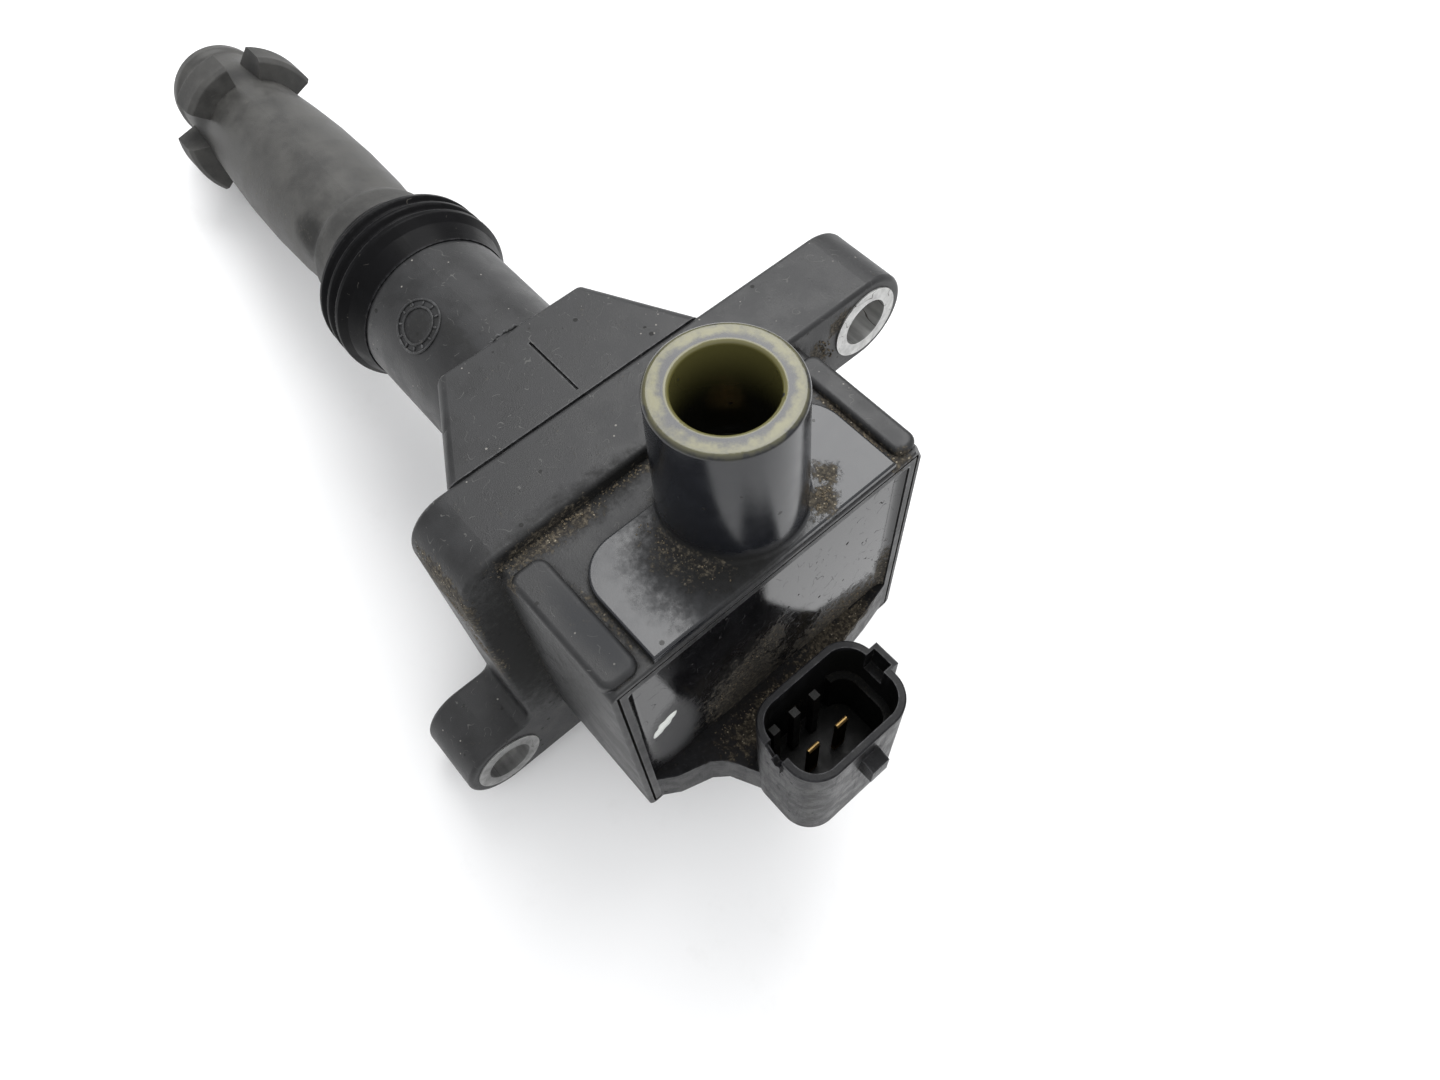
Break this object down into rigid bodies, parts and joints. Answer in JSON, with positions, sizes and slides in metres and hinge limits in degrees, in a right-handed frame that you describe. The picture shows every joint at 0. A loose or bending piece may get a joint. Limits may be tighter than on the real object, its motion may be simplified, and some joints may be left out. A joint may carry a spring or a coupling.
{
  "type": "ignition coil",
  "caption": "Potted plug-top ignition coil with a long rubber-booted shaft, a side outlet tower, a flange with diagonal ears and a low-voltage connector.",
  "frame": {"origin": "on the plug shaft's axis, in the plane of the flange's seating face", "axes": "+X along the shaft from the seating face to the boot mouth, +Z the way the outlet tower stands, +Y completes the right-handed set"},
  "size_m": [0.1552, 0.0839, 0.0752],
  "materials": {
    "housing_plastic": "dusty moulded surface",
    "tower_plastic": "smooth moulded surface, stained at the rim",
    "connector_plastic": "scuffed moulded surface",
    "bush_steel": "worn",
    "terminal_gold": "plated",
    "brass": "turned",
    "copper": "enamelled copper",
    "core_steel": "stacked laminations",
    "magnet_ferrite": "ground",
    "bobbin_plastic": "natural",
    "resin": "cured potting resin, dusty",
    "ceramic": "unglazed ceramic",
    "spring_steel": "drawn wire",
    "boot_rubber": "matt",
    "seal_rubber": "oily black"
  },
  "bodies": {
    "coil": {"coil_housing": "housing_plastic", "ht_tower": "tower_plastic", "tower_terminal": "brass", "mount_bush_upper": "bush_steel", "mount_bush_lower": "bush_steel", "connector_shell": "connector_plastic", "terminal_blade_a": "terminal_gold", "terminal_blade_b": "terminal_gold", "primary_lead_a": "copper", "primary_lead_b": "copper", "core_bar": "core_steel", "core_frame": "core_steel", "bias_magnet": "magnet_ferrite", "primary_bobbin": "bobbin_plastic", "primary_winding": "copper", "secondary_bobbin": "bobbin_plastic", "secondary_winding": "copper", "plug_side_lead": "copper", "tower_side_lead": "copper", "ht_pin": "brass", "suppression_resistor": "ceramic", "resistor_cap_rear": "brass", "resistor_cap_front": "brass", "contact_spring": "spring_steel", "plug_boot": "boot_rubber", "well_seal": "seal_rubber", "potting_resin": "resin"},
    "plug_contact": {"contact_cap": "brass"}
  },
  "joints": [
    {"name": "plug_contact_slide", "type": "slide", "parent": "coil", "child": "plug_contact", "axis": [-1, 0, 0], "range_m": [0, 0.004], "stiffness_N_per_m": 900, "deforming": ["contact_spring"]}
  ]
}
